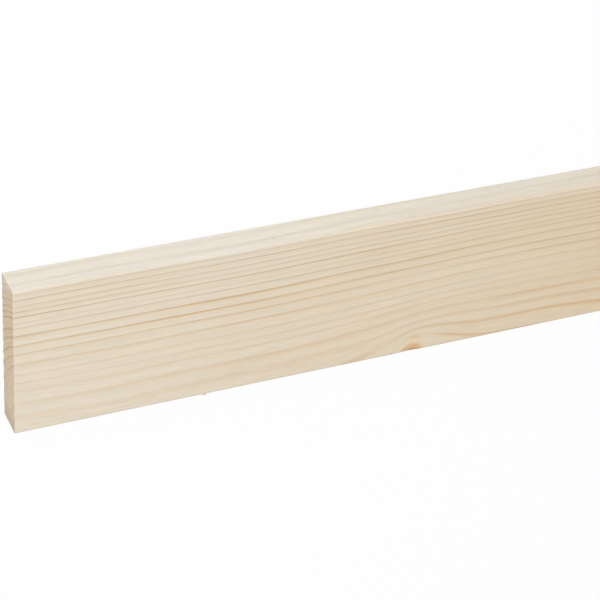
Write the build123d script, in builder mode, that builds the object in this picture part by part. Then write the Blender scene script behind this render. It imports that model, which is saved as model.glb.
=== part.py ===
from build123d import *
import os

# Planed timber strip: one length of softwood, planed to a rectangular section on all four sides,
# with the four long arrises lightly eased and both ends sawn off square. It lies flat on a wide face.
# X runs along the strip, Y across its width and Z up through its thickness.
# The origin is the middle of the underside. All sizes are in millimetres.

# Length as sold
STRIP_LENGTH = 1000.0

# Finished size of the planed section
STRIP_WIDTH = 95.0
STRIP_THICKNESS = 20.0

# Rounding along the four long arrises
ARRIS_RADIUS = 1.0

os.makedirs("parts", exist_ok=True)

with BuildPart() as timber_strip:
    # The planed section stands across the grain at one sawn end and runs through to the other
    with BuildSketch(Plane.YZ.offset(-STRIP_LENGTH / 2)):
        with Locations((0, STRIP_THICKNESS / 2)):
            Rectangle(STRIP_WIDTH, STRIP_THICKNESS)
    extrude(amount=STRIP_LENGTH)
    # Only the arrises that run with the grain are eased; the saw leaves the ends sharp
    fillet(timber_strip.edges().filter_by(Axis.X), radius=ARRIS_RADIUS)

timber_strip.part.label = "timber_strip"
export_step(timber_strip.part, "parts/timber_strip.step")
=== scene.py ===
from collections import namedtuple

import bpy
import numpy as np
from mathutils import Matrix, Vector


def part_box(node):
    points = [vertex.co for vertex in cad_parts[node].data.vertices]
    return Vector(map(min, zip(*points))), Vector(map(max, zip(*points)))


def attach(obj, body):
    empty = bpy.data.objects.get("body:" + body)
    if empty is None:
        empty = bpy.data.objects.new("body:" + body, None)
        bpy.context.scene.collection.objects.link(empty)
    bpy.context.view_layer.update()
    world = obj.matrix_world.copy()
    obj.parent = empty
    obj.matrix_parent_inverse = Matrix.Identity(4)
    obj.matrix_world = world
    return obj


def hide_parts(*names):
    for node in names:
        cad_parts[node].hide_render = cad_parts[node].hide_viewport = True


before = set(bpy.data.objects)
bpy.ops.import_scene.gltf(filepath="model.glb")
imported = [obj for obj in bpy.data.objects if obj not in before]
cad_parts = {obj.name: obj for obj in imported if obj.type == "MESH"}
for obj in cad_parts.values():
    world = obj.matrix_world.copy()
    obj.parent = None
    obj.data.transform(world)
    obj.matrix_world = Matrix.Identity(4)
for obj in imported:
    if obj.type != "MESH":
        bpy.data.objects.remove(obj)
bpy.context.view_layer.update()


# The strip: one length of fast-grown spruce, sawn from beside the heart of the log and planed on all sides.
# The planer eases its long arrises by about a millimetre, and a circular saw cuts both ends square.
# It is bare wood: pale early wood, thin tan lines of late wood, and knots where branches were cut through.

# Sizes are in millimetres. Places along the strip count from the sawn end nearer the camera, and its lower
# edge is the one at -Y, which is the lower one in the picture.
low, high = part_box("timber_strip")
LENGTH, WIDTH, THICKNESS = (1000.0 * (high - low)[i] for i in range(3))
ARRIS = 1.0

# The pith of the log ran above the upper face, outside the lower edge, and drifted sideways further on.
PITH_Y, PITH_Z = -56.0, 62.0
DRIFT, DRIFT_FROM, DRIFT_LENGTH = 3.0, 380.0, 1300.0

# Width of each year from the pith outwards, and how dark its late wood is.
YEAR_WIDTHS = (5.0, 6.0, 6.0, 5.7, 5.0, 7.9, 2.6, 4.0, 4.4, 4.9, 5.1, 3.7, 4.2, 5.6, 5.7,
               4.7, 5.5, 4.6, 2.8, 3.5, 3.0, 3.2, 3.9, 3.3, 4.6, 4.1, 3.8, 3.6, 3.5)
YEAR_DARKNESS = (0.5, 0.5, 0.5, 0.5, 0.3, 0.05, 0.55, 0.38, 0.28, 0.31, 0.22, 0.27, 0.26, 0.41, 0.46,
                 0.72, 0.70, 0.53, 0.36, 0.86, 0.66, 0.62, 0.56, 0.42, 0.21, 0.17, 0.4, 0.4, 0.4)

# Where something differs between the heart side and the bark side of the strip, the two values given are
# those at these distances from the pith.
HEART_SIDE, BARK_SIDE = 45.0, 110.0

# Slow sways of the years along the strip: length, a place where one rises through nothing, and its height
# on the heart side and on the bark side.
Sway = namedtuple("Sway", "length rises heights")
SWAYS = (
    Sway(324.0, 167.3, (1.0, 0.28)),
    Sway(116.0, -36.3, (0.32, 0.05)),
    Sway(141.0, 25.6, (0.08, 0.26)),
)

# Each branch: where it leaves the pith, its direction round the pith in degrees, its rise along the strip
# for each millimetre outwards, its taper, how far the years swell over it, how strongly they step past it,
# how far from the pith it starts, and the least distance from its axis, in its radii, that colours it.
# The last is a pin knot: it starts late, is thin and pale, and leaves the years as they are.
Branch = namedtuple("Branch", "place degrees rise taper swell step starts least")
BRANCHES = (
    Branch(218.1, -79.0, 0.60, 0.140, 13.1, 1.0, 0.0, 0.0),
    Branch(624.0, -37.9, 0.45, 0.044, 5.5, -0.6, 0.0, 0.0),
    Branch(859.0, -62.4, 0.45, 0.050, 5.0, 0.35, 0.0, 0.0),
    Branch(117.0, -25.2, 0.30, 0.008, 0.0, 0.0, 108.0, 1.0),
)

# The least radius of a branch, and the distance in branch radii that stands for far from all of them.
LEAST_RADIUS, FAR_OFF = 0.2, 4.0

# The swell's reach in swells, and its reach along the strip before a branch and past it as shares of that.
SWELL_REACH, SWELL_BEFORE, SWELL_PAST = 1.1, 0.73, 0.95

# The step past a branch: how far past it, over what length and how high, on the heart and the bark side.
STEP_PLACE, STEP_LENGTH, STEP_HEIGHT = (36.1, 40.5), (8.2, 16.3), (4.2, 0.9)
LEAST_STEP_LENGTH, LEAST_STEP_HEIGHT = 4.0, 0.3

# Past the first knot the last years grow wider: by how much, from what distance from the pith, over what
# distance and to what multiple of it, at what place along the strip, and over what length.
WIDER, WIDER_FROM, WIDER_OVER, WIDER_MOST = 1.1, 110.3, 4.2, 1.4
WIDER_PLACE, WIDER_LENGTH = 230.0, 45.0

# Stretches where the late wood is rich in resin, or lean where the amount is below nothing: middle along
# the strip, distance from the pith, reach along and across, and amount.
Resin = namedtuple("Resin", "middle ring along across amount")
RESIN = (
    Resin(103.0, 82.8, 60.0, 6.0, 0.45),
    Resin(118.0, 75.4, 50.0, 3.0, 0.5),
    Resin(133.0, 69.7, 45.0, 3.0, 0.5),
    Resin(339.0, 41.8, 60.0, 2.5, 1.0),
    Resin(344.0, 48.7, 50.0, 4.0, 0.5),
    Resin(90.0, 114.5, 70.0, 2.0, 0.3),
    Resin(274.0, 37.8, 13.0, 2.0, 1.0),
    Resin(236.0, 37.8, 4.0, 2.0, -0.9),
    Resin(254.0, 37.8, 3.5, 1.5, -0.9),
    Resin(224.0, 41.8, 11.0, 2.0, -0.75),
    Resin(209.0, 41.8, 8.0, 2.0, 0.6),
    Resin(30.0, 51.0, 60.0, 2.0, -0.3),
    Resin(60.0, 46.0, 70.0, 2.0, -0.35),
    Resin(320.0, 79.8, 70.0, 2.5, -0.35),
    Resin(300.0, 90.0, 90.0, 1.5, -0.2),
    Resin(310.0, 96.5, 60.0, 1.5, -0.3),
    Resin(20.0, 102.5, 40.0, 1.5, -0.4),
    Resin(30.0, 109.6, 40.0, 1.5, -0.35),
    Resin(245.0, 114.5, 80.0, 2.5, -0.5),
    Resin(640.0, 78.0, 50.0, 5.0, 0.6),
    Resin(880.0, 60.0, 60.0, 6.0, 0.5),
)

# A pocket of bark over the first knot: middle along the strip, distance from the pith, half length and half
# depth, how steeply it leaves its year, and the distance in branch radii that its core and its rim look like.
Pocket = namedtuple("Pocket", "middle ring along across steep core rim")
POCKET = Pocket(245.2, 37.45, 6.6, 1.8, 0.22, 0.93, 1.28)

# How warm the colour is along the strip. It cools to a fifth of that over the last years.
WARMTH_PLACES = (0.0, 60.0, 250.0, 360.0, 600.0, 800.0, 1000.0)
WARMTH = (0.0, 0.05, 0.42, 1.0, 0.3, 0.75, 0.4)
COOL_RING, COOL_OVER, COOL_LEAST = 111.0, 6.0, 0.2


def across_log(depth, values):
    """A value on the straight line through those of the heart side, at depth 0, and the bark side, at 1."""
    heart, bark = values
    return heart + (bark - heart) * depth


def risen(distance):
    """An S-shaped rise from nothing to one: one divided by one plus e to the power of minus the distance."""
    return 1.0 / (1.0 + np.exp(-distance))


def growth(places):
    """The log's growth at points: the year, the distance from a branch, the late wood's resin and the warmth.

    A point's distance from the pith, less the swell and the shift of the years there, is its distance in a
    straight log. The swell is a bulge that dies away with the distance from each branch, sooner before it
    than past it. The shift is the sum of the sways, of a step past each branch, and of the wider last years.
    It depends on the distance that it changes, so four rounds bring the two together. Read off the years'
    widths, that distance gives the year, a number whose whole part changes at the outer edge of each late
    wood. The distance from a branch is that from the nearest branch's axis in branch radii, or from the bark
    pocket in a like measure. The resin is a sum of bell curves."""
    x, y, z = np.asarray(places, float).T
    drift = DRIFT * np.sin(np.pi * np.clip(x - DRIFT_FROM, 0.0, None) / DRIFT_LENGTH) ** 2
    out_y, out_z = y - PITH_Y - drift, z - PITH_Z
    swollen = np.hypot(out_y, out_z)
    nearest = np.full(len(x), FAR_OFF)
    for branch in BRANCHES:
        across, up = np.cos(np.radians(branch.degrees)), np.sin(np.radians(branch.degrees))
        outward = out_y * across + out_z * up
        sideways = out_z * across - out_y * up
        along = x - branch.place - branch.rise * outward
        radius = np.maximum(branch.taper * outward, LEAST_RADIUS)
        apart = np.hypot(along / np.hypot(1.0, branch.rise), sideways) / radius
        apart = np.maximum(apart, branch.least)
        nearest = np.where(outward > branch.starts, np.minimum(nearest, apart), nearest)
        if branch.swell:
            away = np.hypot(along / np.where(along < 0.0, SWELL_BEFORE, SWELL_PAST), sideways)
            swollen = swollen - branch.swell * np.exp(-away / (SWELL_REACH * branch.swell))

    laid = swollen.copy()
    for _ in range(4):
        depth = (laid - HEART_SIDE) / (BARK_SIDE - HEART_SIDE)
        shift = np.zeros(len(x))
        for sway in SWAYS:
            turn = 2.0 * np.pi * (x - sway.rises) / sway.length
            shift = shift + across_log(depth, sway.heights) * np.sin(turn)
        for branch in BRANCHES:
            over = np.maximum(across_log(depth, STEP_LENGTH), LEAST_STEP_LENGTH)
            height = np.maximum(across_log(depth, STEP_HEIGHT), LEAST_STEP_HEIGHT)
            past = x - branch.place - across_log(depth, STEP_PLACE)
            shift = shift + branch.step * height * risen(past / over)
        wider = np.clip((laid - WIDER_FROM) / WIDER_OVER, 0.0, WIDER_MOST)
        shift = shift + WIDER * wider * risen((x - WIDER_PLACE) / WIDER_LENGTH)
        laid = swollen - shift
    year_ends = np.concatenate([[0.0], np.cumsum(YEAR_WIDTHS)])
    year = np.interp(laid, year_ends, np.arange(len(year_ends)))

    along = x - POCKET.middle
    off_core = np.hypot(along / POCKET.along, (laid - POCKET.ring + POCKET.steep * along) / POCKET.across)
    nearest = np.minimum(nearest, POCKET.core + (POCKET.rim - POCKET.core) * off_core ** 2)
    resin = sum(
        spot.amount * np.exp(-((x - spot.middle) / spot.along) ** 2 - ((laid - spot.ring) / spot.across) ** 2)
        for spot in RESIN
    )
    warmth = np.interp(x, WARMTH_PLACES, WARMTH)
    warmth = warmth * np.clip((COOL_RING - laid) / COOL_OVER, COOL_LEAST, 1.0)
    return year, nearest, np.clip(resin, -1.0, 1.0), warmth


# The net round the section: points on half an arris, cells on the wide and the narrow sides, and the first
# cell in from an arris.
ARRIS_POINTS = 4
WIDE_CELL, NARROW_CELL, FIRST_CELL = 0.9, 1.1, 0.25

# The net along the strip: sections to the millimetre on plain wood, how many more there are at a knot, a
# pin knot and a sawn end, with their reach, and how many places their running sum is taken at.
PLAIN_CROWD = 1.0 / 5.0
KNOT_CROWD, KNOT_REACH = 1.1, 13.0
PIN_CROWD, PIN_REACH = 2.2, 2.0
END_CROWD, END_REACH = 2.5, 1.3
SUM_PLACES = 20001


def planed_section():
    """One turn round the section, as y and z, anticlockwise seen from the far end, and each side's points.

    Four sides, each half an arris, a flat and half an arris. A side runs from the middle of one arris to the
    middle of the next, so the last point of a side is the first of the next and is left out."""
    bend = np.radians(np.linspace(0.0, 45.0, ARRIS_POINTS))[1:]
    half_wide, half_narrow = WIDTH / 2 - ARRIS, THICKNESS / 2 - ARRIS
    turn = []
    for number, way in enumerate(np.array([(1, 0), (0, 1), (-1, 0), (0, -1)], float)):
        on_wide = number % 2 == 0
        along, across = (half_wide, half_narrow) if on_wide else (half_narrow, half_wide)
        count = round(2.0 * along / (WIDE_CELL if on_wide else NARROW_CELL))
        flat = np.linspace(-along + FIRST_CELL, along - FIRST_CELL, count)
        flat = np.concatenate([[-along], flat, [along]])
        rounding, height = ARRIS * np.sin(bend), across + ARRIS * np.cos(bend)
        run = np.concatenate([-along - rounding[::-1], flat, along + rounding])
        out = np.concatenate([height[::-1], np.full(len(flat), across + ARRIS), height])
        outward = np.array([way[1], -way[0]])
        turn.append((run[:, None] * way + out[:, None] * outward)[:-1])
    return np.concatenate(turn) + (0.0, THICKNESS / 2), [len(side) for side in turn]


def crosscuts():
    """Places along the strip where the section stands, and the number of the one halfway.

    Their crowding is even on plain wood, with a bell curve more at each knot and an exponential more towards
    each sawn end. The running sum of the crowding, cut into equal steps in each half, gives the places."""
    fine = np.linspace(0.0, LENGTH, SUM_PLACES)
    crowd = np.full(len(fine), PLAIN_CROWD)
    for branch in BRANCHES:
        angle = np.radians(branch.degrees)
        if branch.swell:
            at = branch.place + branch.rise * (PITH_Z - THICKNESS) / -np.sin(angle)
            crowd += KNOT_CROWD * np.exp(-((fine - at) / KNOT_REACH) ** 2)
        else:
            at = branch.place + branch.rise * (WIDTH / 2 - PITH_Y) / np.cos(angle)
            crowd += PIN_CROWD * np.exp(-((fine - at) / PIN_REACH) ** 2)
    crowd += END_CROWD * (np.exp(-fine / END_REACH) + np.exp(-(LENGTH - fine) / END_REACH))
    count = np.concatenate([[0.0], np.cumsum((crowd[1:] + crowd[:-1]) / 2 * np.diff(fine))])
    half = np.interp(LENGTH / 2, fine, count)
    first = np.linspace(0.0, half, round(half) + 1)
    second = np.linspace(half, count[-1], round(count[-1] - half) + 1)
    return np.interp(np.concatenate([first, second[1:]]), count, fine), round(half)


def four_sides(ring, sides):
    """Cuts a turn round the section into its bottom, right, top and left side, each with both its corners.

    The first two run in the turn's direction and the last two against it."""
    wide, narrow = sides[:2]
    closed = np.concatenate([ring, ring[:1]])
    bottom, right = closed[: wide + 1], closed[wide : wide + narrow + 1]
    top, left = closed[wide + narrow : 2 * wide + narrow + 1], closed[2 * wide + narrow :]
    return bottom, right, top[::-1], left[::-1]


def sawn_patch(ring, sides):
    """Fills a sawn end, so that it meets the planed section all round.

    Each point is the blend of the two wide sides plus the blend of the two narrow sides, less the blend of
    the four corners."""
    bottom, right, top, left = four_sides(ring, sides)
    u = np.linspace(0.0, 1.0, len(bottom))[:, None, None]
    v = np.linspace(0.0, 1.0, len(right))[None, :, None]
    foot = (1 - u) * bottom[0] + u * bottom[-1]
    head = (1 - u) * top[0] + u * top[-1]
    wide = (1 - v) * bottom[:, None] + v * top[:, None]
    narrow = (1 - u) * left[None] + u * right[None]
    return wide + narrow - (1 - v) * foot - v * head


# The planed sides: the section carried along the strip.
section, sides = planed_section()
cuts, middle_cut = crosscuts()
around, turns = len(section), len(cuts)
planed = np.empty((turns, around, 3))
planed[:, :, 0] = cuts[:, None]
planed[:, :, 1:] = section[None]

# The sawn ends share the first and the last section with the planed sides.
patch = sawn_patch(section, sides)
inside = patch[1:-1, 1:-1].reshape(-1, 2)
near_end = np.column_stack([np.zeros(len(inside)), inside])
far_end = np.column_stack([np.full(len(inside), LENGTH), inside])
places = np.concatenate([planed.reshape(-1, 3), near_end, far_end])

# The saw tears the underside's rim as it leaves the wood. The soft early wood of each year breaks out, a
# little past the middle of the year and most in the outer, narrower years, and short waves make it uneven.
# The tear dies away along the strip, as an exponential, and up the end, as a power.
TEAR_WAVES, TEAR_HEIGHTS = np.array([9.0, 5.3, 3.4, 2.4]), np.array([0.04, 0.04, 0.03, 0.02])
EARLY_TEAR, EARLY_SKEW = 0.05, 1.4
OUTER_TEAR, OUTER_FROM, OUTER_OVER = 0.18, 11.0, 5.0
TEAR_REACH, TEAR_HEIGHT, TEAR_POWER = 1.5, 3.5, 1.5
chance = np.random.default_rng(41)
year = growth(places)[0]
early_share = np.sin(np.pi * (year - np.floor(year)) ** EARLY_SKEW)
outer_share = np.clip((year - OUTER_FROM) / OUTER_OVER, 0.0, 1.0)
for end, inward in ((0.0, 1.0), (LENGTH, -1.0)):
    phases = chance.uniform(0.0, 2.0 * np.pi, len(TEAR_WAVES))
    torn = (TEAR_HEIGHTS * np.sin(2.0 * np.pi * places[:, 1:2] / TEAR_WAVES + phases)).sum(1)
    torn = torn + early_share * (EARLY_TEAR + OUTER_TEAR * outer_share)
    up_the_end = np.clip(1.0 - places[:, 2] / TEAR_HEIGHT, 0.0, 1.0) ** TEAR_POWER
    near = np.exp(-np.abs(places[:, 0] - end) / TEAR_REACH) * up_the_end
    places[:, 0] += inward * np.clip(torn, 0.0, None) * near

# The first knot's short grain broke out a little under the planer where it meets the lower arris: a bell
# curve along the strip that dies away with the distance from the arris.
CHIP_DEPTH, CHIP_PLACE, CHIP_LENGTH, CHIP_REACH = 0.35, 242.0, 6.0, 2.2
from_arris = np.hypot(places[:, 1] + WIDTH / 2, places[:, 2] - THICKNESS)
chipped = CHIP_DEPTH * np.exp(-((places[:, 0] - CHIP_PLACE) / CHIP_LENGTH) ** 2)
chipped = chipped * np.clip(1.0 - from_arris / CHIP_REACH, 0.0, 1.0)
places[:, 1] += chipped
places[:, 2] -= chipped

# A splinter hangs from the lower arris: an oval fin whose root lies in the wood. It leaves the edge slowly,
# as a power of the way along it, thins towards its tip and breaks off square there.
SPLINTER_ROOT, SPLINTER_TIP = 108.6, 113.1
SPLINTER_LEAST, SPLINTER_DROP, SPLINTER_CURVE = 0.1, 1.6, 1.6
SPLINTER_INSIDE, SPLINTER_BELOW = 0.25, 0.6
SPLINTER_HALF, SPLINTER_THINNING = 0.24, 0.45
SPLINTER_RINGS, SPLINTER_SIDES = 9, 8
way = np.linspace(0.0, 1.0, SPLINTER_RINGS)[:, None]
spin = np.linspace(0.0, 2.0 * np.pi, SPLINTER_SIDES + 1)[:-1][None]
drop = SPLINTER_LEAST + SPLINTER_DROP * way ** SPLINTER_CURVE
thick = SPLINTER_HALF * (1.0 - SPLINTER_THINNING * way)
splinter = np.stack([
    SPLINTER_ROOT + (SPLINTER_TIP - SPLINTER_ROOT) * way + 0.0 * spin,
    -WIDTH / 2 + SPLINTER_INSIDE - 0.5 * drop + 0.5 * drop * np.cos(spin),
    THICKNESS - SPLINTER_BELOW + thick * np.sin(spin),
], axis=-1)
first_splinter = len(places)
places = np.concatenate([places, splinter.reshape(-1, 3)])


def cells(net):
    """The four corners of every cell of a net, in the order that turns the planed sides' faces outwards."""
    corners = [net[:-1, :-1], net[:-1, 1:], net[1:, 1:], net[1:, :-1]]
    return np.stack(corners, axis=2).reshape(-1, 4, *net.shape[2:])


def closed_round(net):
    """A net whose first column is repeated after its last."""
    return np.concatenate([net, net[:, :1]], axis=1)


def sheet(u, v):
    """A net of places on the flat sheet that the finish is painted on, from its columns and rows."""
    return np.stack(np.meshgrid(u, v, indexing="ij"), axis=-1)


# Faces, all with four corners, with their material and their places on the flat sheet. There the planed
# sides take two long rows, one for each half of the strip, and the ends and the splinter a column beside.
ROW_LEFT, ROW_WIDE, ROW_FOOT, ROW_TALL, ROW_STEP = 0.004, 0.94, 0.008, 0.484, 0.5
END_LEFT, END_WIDE, END_FOOT, END_TALL, END_STEP = 0.955, 0.04, 0.02, 0.2, 0.25
FIN_LEFT, FIN_FOOT, FIN_SPAN = 0.96, 0.6, 0.03
CAP_FOOT, CAP_SPAN, CAP_STEP = 0.64, 0.004, 0.005
PLANED, SAWN = 0, 1
faces, spots, kinds = [], [], []


def add_faces(corners, corner_spots, kind):
    """Adds faces with one material to the mesh."""
    faces.append(corners)
    spots.append(corner_spots)
    kinds.append(np.full(len(corners), kind))


grid = np.arange(turns * around).reshape(turns, around)
girth = np.linalg.norm(np.roll(section, -1, 0) - section, axis=1)
girth = np.concatenate([[0.0], np.cumsum(girth)])
for half, rows in enumerate((slice(0, middle_cut + 1), slice(middle_cut, turns))):
    columns = ROW_LEFT + ROW_WIDE * (cuts[rows] / (LENGTH / 2) - half)
    heights = ROW_FOOT + ROW_STEP * half + ROW_TALL * girth / girth[-1]
    add_faces(cells(closed_round(grid[rows])), cells(sheet(columns, heights)), PLANED)

for number, (ring, order) in enumerate(((grid[0], [0, 1, 2, 3]), (grid[-1], [0, 3, 2, 1]))):
    net = np.empty(patch.shape[:2], int)
    net[:, 0], net[-1], net[:, -1], net[0] = four_sides(ring, sides)
    first_inside = grid.size + number * len(inside)
    net[1:-1, 1:-1] = first_inside + np.arange(len(inside)).reshape(net[1:-1, 1:-1].shape)
    columns = END_LEFT + END_WIDE * patch[..., 1] / THICKNESS
    heights = END_FOOT + END_STEP * number + END_TALL * (patch[..., 0] / WIDTH + 0.5)
    add_faces(cells(net)[:, order], cells(np.stack([columns, heights], -1))[:, order], SAWN)

net = first_splinter + np.arange(splinter[..., 0].size).reshape(SPLINTER_RINGS, SPLINTER_SIDES)
columns = FIN_LEFT + FIN_SPAN * np.linspace(0.0, 1.0, SPLINTER_RINGS)
heights = FIN_FOOT + FIN_SPAN * np.linspace(0.0, 1.0, SPLINTER_SIDES + 1)
add_faces(cells(closed_round(net)), cells(sheet(columns, heights)), PLANED)
closing = np.array([(0, 1, 2, 3), (0, 3, 4, 7), (4, 5, 6, 7)])
caps = np.concatenate([net[0][closing[:, ::-1]], net[-1][closing]])
cap = CAP_SPAN * np.array([(0, 0), (1, 0), (1, 1), (0, 1)]) + (FIN_LEFT, CAP_FOOT)
cap_shift = CAP_STEP * np.arange(len(caps))[:, None, None] * np.array([1.0, 0.0])
add_faces(caps, cap + cap_shift, PLANED)
faces, spots, kinds = np.concatenate(faces), np.concatenate(spots), np.concatenate(kinds)

# Points in metres, in the strip's own frame.
centre = (low + high) / 2
points = (places - (LENGTH / 2, 0.0, 0.0)) / 1000.0 + (centre[0], centre[1], 0.0)
mesh = bpy.data.meshes.new("planed_strip")
mesh.vertices.add(len(points))
mesh.vertices.foreach_set("co", points.ravel())
mesh.loops.add(faces.size)
mesh.loops.foreach_set("vertex_index", faces.ravel().astype(np.int32))
mesh.polygons.add(len(faces))
mesh.polygons.foreach_set("loop_start", np.arange(0, faces.size, 4, dtype=np.int32))
mesh.polygons.foreach_set("material_index", kinds.astype(np.int32))
mesh.update(calc_edges=True)
mesh.polygons.foreach_set("use_smooth", np.ones(len(faces), bool))
mesh.uv_layers.new(name="OFBake").data.foreach_set("uv", spots.ravel().astype(np.float32))

# The wood at each point, and how near the point is to a sawn rim: one there, and an exponential less away
# from it.
RIM_REACH = 0.6
year, nearest, resin, warmth = growth(places)
from_rim = np.minimum(places[:, 0], LENGTH - places[:, 0])
to_edges = WIDTH / 2 - np.abs(inside[:, 0])
to_faces = THICKNESS / 2 - np.abs(inside[:, 1] - THICKNESS / 2)
from_rim[grid.size : first_splinter] = np.tile(np.minimum(to_edges, to_faces), 2)
rim = np.exp(-from_rim / RIM_REACH)
grown_fields = {"year": year, "branch": nearest, "resin": resin, "warm": warmth, "rim": rim}
for name, values in grown_fields.items():
    mesh.attributes.new(name, "FLOAT", "POINT").data.foreach_set("value", values.astype(np.float32))

# The rims stay sharp, as the saw leaves them.
ends = np.empty(2 * len(mesh.edges), np.int32)
mesh.edges.foreach_get("vertices", ends)
ends = ends.reshape(-1, 2)
on_rim = (ends < around).all(1) | ((ends >= grid.size - around) & (ends < grid.size)).all(1)
mesh.attributes.new("sharp_edge", "BOOLEAN", "EDGE").data.foreach_set("value", on_rim)
mesh.validate()

strip = bpy.data.objects.new("planed_strip", mesh)
bpy.context.scene.collection.objects.link(strip)


def srgb(red, green, blue):
    """A colour as seen on a screen, 0 to 255 a channel, as linear light.

    A channel divided by 255, plus 0.055, is divided by 1.055 and raised to the power 2.4."""
    return (*(((c / 255.0 + 0.055) / 1.055) ** 2.4 for c in (red, green, blue)), 1.0)


class Wiring:
    """A shader tree as it is wired up: each method adds nodes to it and gives back what they put out."""

    def __init__(self, tree):
        self.tree = tree

    def node(self, kind, sockets, **settings):
        """Adds a node with its settings, and gives each named or numbered socket a value or an output."""
        made = self.tree.nodes.new("ShaderNode" + kind)
        for name, value in settings.items():
            setattr(made, name, value)
        for name, value in sockets.items():
            if isinstance(value, bpy.types.NodeSocket):
                self.tree.links.new(value, made.inputs[name])
            else:
                made.inputs[name].default_value = value
        return made.outputs

    def math(self, operation, first, second=0.0, third=0.0):
        """One step of arithmetic on values."""
        return self.node("Math", {0: first, 1: second, 2: third}, operation=operation)[0]

    def product(self, first, *others):
        """Values multiplied together."""
        for other in others:
            first = self.math("MULTIPLY", first, other)
        return first

    def line(self, value, slope, start):
        """A start plus a slope times a value."""
        return self.math("MULTIPLY_ADD", value, slope, start)

    def ease(self, value, start, end, low=0.0, high=1.0):
        """Runs smoothly from low at start to high at end."""
        sockets = {"Value": value, "From Min": start, "From Max": end, "To Min": low, "To Max": high}
        return self.node("MapRange", sockets, interpolation_type="SMOOTHSTEP")[0]

    def blend(self, share, first, second):
        """Mixes two colours by the share of the second."""
        return self.node("Mix", {0: share, 6: first, 7: second}, data_type="RGBA")[2]

    def tint(self, colour, tint, share=1.0):
        """Multiplies a colour by a tint, by a share of it."""
        sockets = {0: share, 6: colour, 7: tint}
        return self.node("Mix", sockets, data_type="RGBA", blend_type="MULTIPLY")[2]

    def shade(self, colour, value):
        """Multiplies a colour by a value."""
        return self.tint(colour, self.node("CombineColor", {0: value, 1: value, 2: value})[0])

    def noise(self, place, detail, rough):
        """Noise with one cell to the unit."""
        sockets = {"Vector": place, "Scale": 1.0, "Detail": detail, "Roughness": rough}
        return self.node("TexNoise", sockets, noise_dimensions="3D")[0]

    def streaks(self, grain, along, across, through, detail=2.0, rough=0.55):
        """Noise drawn out along the grain, so many cells to the metre along it, to the year across it, and to
        the metre through it."""
        drawn = self.node("VectorMath", {0: grain, 1: (along, across, through)}, operation="MULTIPLY")[0]
        return self.noise(drawn, detail, rough)


# Colours of the wood. Early wood and sapwood have a cool and a warm one, and late wood one for the inner,
# the middle and the outer years. The sapwood's paleness is partly the outer years' own colour and partly
# painted sheen of the bright narrow edge, where those years come out.
EARLY_COOL, EARLY_WARM = srgb(228, 217, 199), srgb(225, 208, 179)
SAPWOOD_SHEEN_COOL, SAPWOOD_SHEEN_WARM = srgb(231, 225, 213), srgb(222, 211, 190)
LATE_INNER, LATE_MIDDLE, LATE_OUTER = srgb(208, 172, 123), srgb(198, 168, 128), srgb(192, 166, 131)
RESIN_TAN, FLECK_TAN = srgb(208, 160, 106), srgb(186, 160, 126)
HALO_TINT, CLOUD_TINT = srgb(255, 248, 231), srgb(251, 242, 229)
KNOT_WOOD, KNOT_HEART, KNOT_COLLAR = srgb(220, 178, 130), srgb(190, 150, 112), srgb(227, 212, 181)


def year_darkness(wires, year):
    """The darkness of the year that a value falls in: a ramp with one step for each year."""
    count = len(YEAR_DARKNESS)
    ramp = wires.tree.nodes.new("ShaderNodeValToRGB")
    wires.tree.links.new(wires.math("DIVIDE", year, float(count + 1)), ramp.inputs[0])
    ramp.color_ramp.interpolation = "CONSTANT"
    stops = ramp.color_ramp.elements
    for number, dark in enumerate(YEAR_DARKNESS):
        at = (number + 1e-4) / (count + 1)
        stop = stops[number] if number < 2 else stops.new(at)
        stop.position, stop.color = at, (dark, dark, dark, 1.0)
    return ramp.outputs[0]


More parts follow.
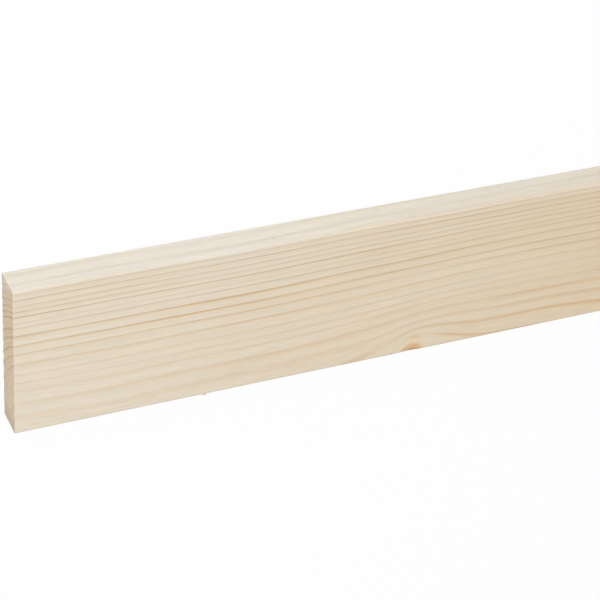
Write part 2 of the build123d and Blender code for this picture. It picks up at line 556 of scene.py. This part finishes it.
def spruce_wood():
    """The colour of spruce from its growth, for planed and sawn faces alike, as a group.

    The year's fraction runs from early to late wood: a smooth step late in the year over a faint slope, then
    a fall at the year's end, times that year's own darkness. In the soft years, which are the 9th, fading
    out to the 13th, and those from the 25th on, the step starts earlier and the fall ends later. Resin
    deepens the late wood, and its lack pales it. A halo yellows the wood before it. Streaks that follow the
    years waver it, cloud it and lay fibres and flecks over it. Round a branch come a pale collar, the knot
    with its rings, and the knot's heart."""
    tree = bpy.data.node_groups.new("spruce_wood", "ShaderNodeTree")
    for name in ("Year", "Resin", "Branch", "Warm", "Waver"):
        tree.interface.new_socket(name, in_out="INPUT", socket_type="NodeSocketFloat")
    tree.interface.new_socket("Position", in_out="INPUT", socket_type="NodeSocketVector")
    tree.interface.new_socket("Colour", in_out="OUTPUT", socket_type="NodeSocketColor")
    for name in ("Late Wood", "Fibre", "Knot"):
        tree.interface.new_socket(name, in_out="OUTPUT", socket_type="NodeSocketFloat")
    given = tree.nodes.new("NodeGroupInput").outputs
    result = tree.nodes.new("NodeGroupOutput").inputs
    wires = Wiring(tree)
    math, line, product = wires.math, wires.line, wires.product
    ease, blend, tint, streaks = wires.ease, wires.blend, wires.tint, wires.streaks
    x, y, z = wires.node("SeparateXYZ", {0: given["Position"]})
    grain = wires.node("CombineXYZ", {0: x, 1: given["Year"], 2: math("ADD", y, z)})[0]

    # The year, wavering, and behind its time in the soft years.
    wander = math("SUBTRACT", streaks(grain, 14.0, 0.7, 40.0), 0.5)
    ragged = math("SUBTRACT", streaks(grain, 110.0, 1.3, 260.0), 0.5)
    year = line(wander, 0.13, given["Year"])
    year = line(ragged, given["Waver"], year)
    soft = product(ease(year, 13.0, 9.0), ease(year, 7.6, 8.2))
    soft = math("MAXIMUM", soft, ease(year, 23.9, 24.4, 0.0, 0.8))
    lag = line(soft, 0.13, 0.03)
    year = math("SUBTRACT", year, lag)
    part = math("FRACT", year)

    # Late wood: its onset, its full depth and its fall, then how dark it is.
    onset = ease(streaks(grain, 10.0, 1.9, 60.0), 0.25, 0.75, 0.57, 0.75)
    onset = line(soft, -0.25, onset)
    late = ease(part, onset, math("SUBTRACT", 0.95, lag))
    fall = ease(part, math("SUBTRACT", 0.965, lag), 1.0, 1.0, 0.0)
    late = product(line(part, 0.06, product(late, 0.94)), fall)
    darkness = year_darkness(wires, year)
    patchy = ease(streaks(grain, 9.0, 1.4, 40.0, 3.0), 0.25, 0.75, 0.59, 1.19)
    rich = math("MAXIMUM", given["Resin"], 0.0)
    lean = math("MINIMUM", given["Resin"], 0.0)
    dark = product(late, darkness, patchy, math("ADD", 1.0, lean))
    dark = line(product(rich, 0.18), late, dark)

    # Early wood and sapwood with its painted sheen, the halo before the late wood, and the late wood itself.
    early = blend(given["Warm"], EARLY_COOL, EARLY_WARM)
    # The sapwood colours hold painted sheen as well as the outer years' paler wood.
    sapwood_sheen = blend(given["Warm"], SAPWOOD_SHEEN_COOL, SAPWOOD_SHEEN_WARM)
    early = blend(ease(year, 23.9, 24.6), early, sapwood_sheen)
    halo = product(ease(part, 0.2, 0.8), fall, darkness, ease(year, 16.5, 17.5, 0.7, 0.4))
    early = tint(early, HALO_TINT, halo)
    tan = blend(ease(year, 13.0, 16.0), LATE_INNER, LATE_MIDDLE)
    tan = blend(ease(year, 16.9, 17.3), tan, LATE_OUTER)
    tan = blend(rich, tan, RESIN_TAN)
    colour = blend(dark, early, tan)

    # Clouds, fibres and flecks.
    cloud = ease(streaks(grain, 6.0, 0.35, 20.0), 0.3, 0.72, 0.0, 0.4)
    colour = tint(colour, CLOUD_TINT, cloud)
    strand = streaks(grain, 26.0, 3.6, 240.0, 4.0, 0.62)
    thread = streaks(grain, 130.0, 17.0, 900.0, 3.0, 0.6)
    fibre = line(strand, 0.5, product(thread, 0.5))
    colour = wires.shade(colour, ease(fibre, 0.32, 0.68, 0.935, 1.05))
    fleck = ease(streaks(grain, 150.0, 11.0, 700.0, 1.0), 0.68, 0.80, 0.0, 0.22)
    colour = blend(fleck, colour, FLECK_TAN)

    # The collar, the knot's rings and its heart, by the distance in branch radii.
    collar = ease(given["Branch"], 2.1, 1.3, 0.0, 0.55)
    colour = blend(collar, colour, KNOT_COLLAR)
    knot = ease(given["Branch"], 1.28, 0.66)
    heart = ease(given["Branch"], 0.62, 0.2)
    rings = math("SINE", line(given["Branch"], 26.0, product(ragged, 9.0)))
    brown = line(ragged, 0.9, line(rings, 0.17, heart))
    colour = blend(knot, colour, blend(brown, KNOT_WOOD, KNOT_HEART))

    for name, value in (("Colour", colour), ("Late Wood", dark), ("Fibre", fibre), ("Knot", knot)):
        tree.links.new(value, result[name])
    return tree


def spruce(name, wood, waver):
    """A bare spruce surface: a material with the wood laid into it, its lines wavering by part of a year.

    Gives back the material, its wiring, the place on the strip, the year, the nearness of a rim, what the
    wood puts out and the shader's sockets."""
    made = bpy.data.materials.new(name)
    made.use_nodes = True
    wires = Wiring(made.node_tree)
    position = wires.node("TexCoord", {})["Object"]
    rim = wires.node("Attribute", {}, attribute_name="rim")["Fac"]
    fields = {key: wires.node("Attribute", {}, attribute_name=key.lower())["Fac"]
              for key in ("Year", "Resin", "Branch", "Warm")}
    grown = wires.node("Group", {**fields, "Position": position, "Waver": waver}, node_tree=wood)
    return made, wires, position, fields["Year"], rim, grown, wires.tree.nodes["Principled BSDF"].inputs


wood = spruce_wood()

# Planed faces: satin where the knives burnish the late wood, a little duller between, with the fibres just
# felt. The fresh rims are pale, and the lower arris has painted shade, darker where it turns away from the
# light, most where it crosses a knot. The painted shade sets in between two places across the strip and two
# up through it, in metres.
RIM_PALE, ARRIS_SHADE_TINT = srgb(236, 226, 206), srgb(215, 222, 238)
ARRIS_SHADE_Y, ARRIS_SHADE_Z = (-0.0452, -0.0470), (0.012, 0.0185)
planed_face, wires, position, year, rim, grown, shader = spruce("planed_spruce", wood, 0.05)
colour = wires.blend(wires.product(rim, 0.35), grown["Colour"], RIM_PALE)
_, y, z = wires.node("SeparateXYZ", {0: position})
# Painted shade on the lower arris, where it turns away from the light.
arris_shade = wires.product(wires.ease(y, *ARRIS_SHADE_Y), wires.ease(z, *ARRIS_SHADE_Z))
arris_shade = wires.product(arris_shade, wires.line(grown["Knot"], 0.8, 0.2))
colour = wires.tint(colour, ARRIS_SHADE_TINT, arris_shade)
wires.tree.links.new(colour, shader["Base Color"])
dull = wires.line(grown["Late Wood"], -0.10, 0.58)
dull = wires.line(wires.math("SUBTRACT", grown["Fibre"], 0.5), 0.2, dull)
dull = wires.line(grown["Knot"], -0.08, dull)
wires.tree.links.new(dull, shader["Roughness"])
shader["Specular IOR Level"].default_value = 0.25
height = wires.line(grown["Late Wood"], 0.1, wires.product(grown["Fibre"], 0.6))
relief = wires.node("Bump", {"Strength": 0.25, "Distance": 0.00008, "Height": height})[0]
wires.tree.links.new(relief, shader["Normal"])

# Sawn ends: dull end grain, browner because the cut cells drink the light, with the saw's shallow arcs
# across it. Painted shade darkens it among the torn fibres of the rim and towards the lower edge, between
# the places given in metres. The saw's axis lay outside the lower edge and below the underside, that far
# from the strip's origin.
END_FADED, END_TINT, END_RIM = srgb(263, 253, 233), srgb(247, 237, 227), srgb(232, 220, 198)
TORN_SHADE_Z, EDGE_SHADE_Y = (0.0008, 0.0030), (-0.0475, -0.034)
PORES = (200.0, 900.0, 1500.0)
FROM_SAW_AXIS, TOOTH_MARKS = (0.0, 0.16, 0.03), 4200.0
sawn_face, wires, position, year, rim, grown, shader = spruce("sawn_spruce", wood, 0.36)
x, y, z = wires.node("SeparateXYZ", {0: position})
faded = wires.shade(END_FADED, wires.node("RGBToBW", {0: grown["Colour"]})[0])
colour = wires.blend(0.25, grown["Colour"], faded)
colour = wires.tint(colour, END_TINT)
ringwise = wires.node("CombineXYZ", {0: x, 1: year, 2: wires.math("SUBTRACT", z, y)})[0]
fuzz = wires.streaks(ringwise, 60.0, 4.5, 110.0, 3.0, 0.65)
colour = wires.shade(colour, wires.ease(fuzz, 0.28, 0.72, 0.91, 1.07))
# Painted shade: darker among the torn fibres at the rim and towards the lower edge.
colour = wires.shade(colour, wires.ease(wires.line(fuzz, 0.0022, z), *TORN_SHADE_Z, 0.84, 1.0))
colour = wires.shade(colour, wires.ease(y, *EDGE_SHADE_Y, 0.82, 1.0))
pores = wires.noise(wires.node("Mapping", {"Vector": position, "Scale": PORES})[0], 4.0, 0.65)
colour = wires.shade(colour, wires.ease(pores, 0.3, 0.7, 0.90, 1.05))
colour = wires.blend(wires.product(rim, 0.15), colour, END_RIM)
wires.tree.links.new(colour, shader["Base Color"])
shader["Roughness"].default_value = 0.85
shader["Specular IOR Level"].default_value = 0.25
arcs = wires.node("Mapping", {"Vector": position, "Location": FROM_SAW_AXIS, "Scale": (0.0, 1.0, 1.0)})[0]
reach = wires.node("VectorMath", {0: arcs}, operation="LENGTH")["Value"]
teeth = wires.math("SINE", wires.product(reach, TOOTH_MARKS))
height = wires.line(teeth, 0.25, pores)
height = wires.line(grown["Late Wood"], 0.8, height)
relief = wires.node("Bump", {"Strength": 0.6, "Distance": 0.0003, "Height": height})[0]
wires.tree.links.new(relief, shader["Normal"])

mesh.materials.append(planed_face)
mesh.materials.append(sawn_face)
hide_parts("timber_strip")
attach(strip, "root")


# The floor: a plain white sheet of paper that the strip lies on, a hair below it.
# It looks almost white to the camera, in gloss and through glass, and still takes a little of the shadow.
FLOOR_HALF, FLOOR_BELOW = 8.0, 0.0002
FLOOR_GREY, FLOOR_WHITE = 0.92, 0.94
corners = FLOOR_HALF * np.array([(-1, -1), (1, -1), (1, 1), (-1, 1)], float)
floor_mesh = bpy.data.meshes.new("floor")
floor_mesh.from_pydata(np.column_stack([corners, np.full(4, -FLOOR_BELOW)]).tolist(), [], [(0, 1, 2, 3)])
floor = bpy.data.objects.new("floor", floor_mesh)
bpy.context.scene.collection.objects.link(floor)


def seen_directly(wires):
    """One for rays from the camera and for gloss and glass, and nothing for those that light the object."""
    path = wires.node("LightPath", {})
    shiny = wires.math("MAXIMUM", path["Is Glossy Ray"], path["Is Transmission Ray"])
    return wires.math("MAXIMUM", path["Is Camera Ray"], shiny)


paper = bpy.data.materials.new("white_paper")
paper.use_nodes = True
wires = Wiring(paper.node_tree)
shader = wires.tree.nodes["Principled BSDF"]
shader.inputs["Base Color"].default_value = (FLOOR_GREY, FLOOR_GREY, FLOOR_GREY, 1.0)
shader.inputs["Roughness"].default_value = 1.0
shader.inputs["Specular IOR Level"].default_value = 0.0
white = wires.node("Emission", {"Color": (1.0, 1.0, 1.0, 1.0), "Strength": 1.0})[0]
share = wires.product(seen_directly(wires), FLOOR_WHITE)
surface = wires.node("MixShader", {0: share, 1: shader.outputs[0], 2: white})[0]
wires.tree.links.new(surface, wires.tree.nodes["Material Output"].inputs["Surface"])
floor_mesh.materials.append(paper)


# The light: a white room and four soft boxes. One stands beside the bright narrow edge, one hangs over the
# near end, one faces that end, and a weaker one lights the two far sides.
scene = bpy.context.scene
scene.view_settings.view_transform = "Standard"
ROOM_FILL = 0.525
room = bpy.data.worlds.new("white_room")
room.use_nodes = True
wires = Wiring(room.node_tree)
backdrop = wires.tree.nodes["Background"].inputs
backdrop["Color"].default_value = (1.0, 1.0, 1.0, 1.0)
strength = wires.line(seen_directly(wires), 1.0 - ROOM_FILL, ROOM_FILL)
wires.tree.links.new(strength, backdrop["Strength"])
scene.world = room


def turned_towards(where, aim):
    """The place of a lamp or a camera that stands at one point and looks at another."""
    look = (Vector(aim) - Vector(where)).to_track_quat("-Z", "Y")
    return Matrix.Translation(where) @ look.to_matrix().to_4x4()


def soft_box(name, where, aim, size, power, colour=(1.0, 1.0, 1.0)):
    """A square lamp that shines from one point towards another, its face square to that line."""
    data = bpy.data.lights.new(name, "AREA")
    data.shape, data.size, data.energy, data.color = "SQUARE", size, power, colour
    lamp = bpy.data.objects.new(name, data)
    lamp.matrix_world = turned_towards(where, aim)
    scene.collection.objects.link(lamp)


soft_box("edge_box", (-0.55, 1.95, 0.62), (-0.3, 0.0, 0.0), 1.2, 12.2, (0.98, 1.0, 1.02))
soft_box("top_box", (-0.95, 0.15, 1.4), (-0.5, 0.0, 0.0), 1.0, 8.5)
soft_box("end_box", (-2.0, 0.5, 1.0), (-0.45, 0.0, 0.0), 1.0, 3.1)
soft_box("far_box", (1.4, -1.7, 1.1), (0.1, 0.0, 0.0), 1.2, 6.4)


# The camera: it looks down on the upper face from beside the near end, and is rolled so that the strip runs
# across the picture with its lit narrow edge on top.
CAMERA_PLACE, CAMERA_AIM = (-0.74184, 0.64876, 0.84403), (-0.33243, 0.00638, 0.02)
CAMERA_ROLL = 143.883
lens = bpy.data.cameras.new("camera")
lens.sensor_width, lens.lens = 36.0, 119.049
camera = bpy.data.objects.new("camera", lens)
rolled = Matrix.Rotation(np.radians(CAMERA_ROLL), 4, "Z")
camera.matrix_world = turned_towards(CAMERA_PLACE, CAMERA_AIM) @ rolled
scene.collection.objects.link(camera)
scene.camera = camera
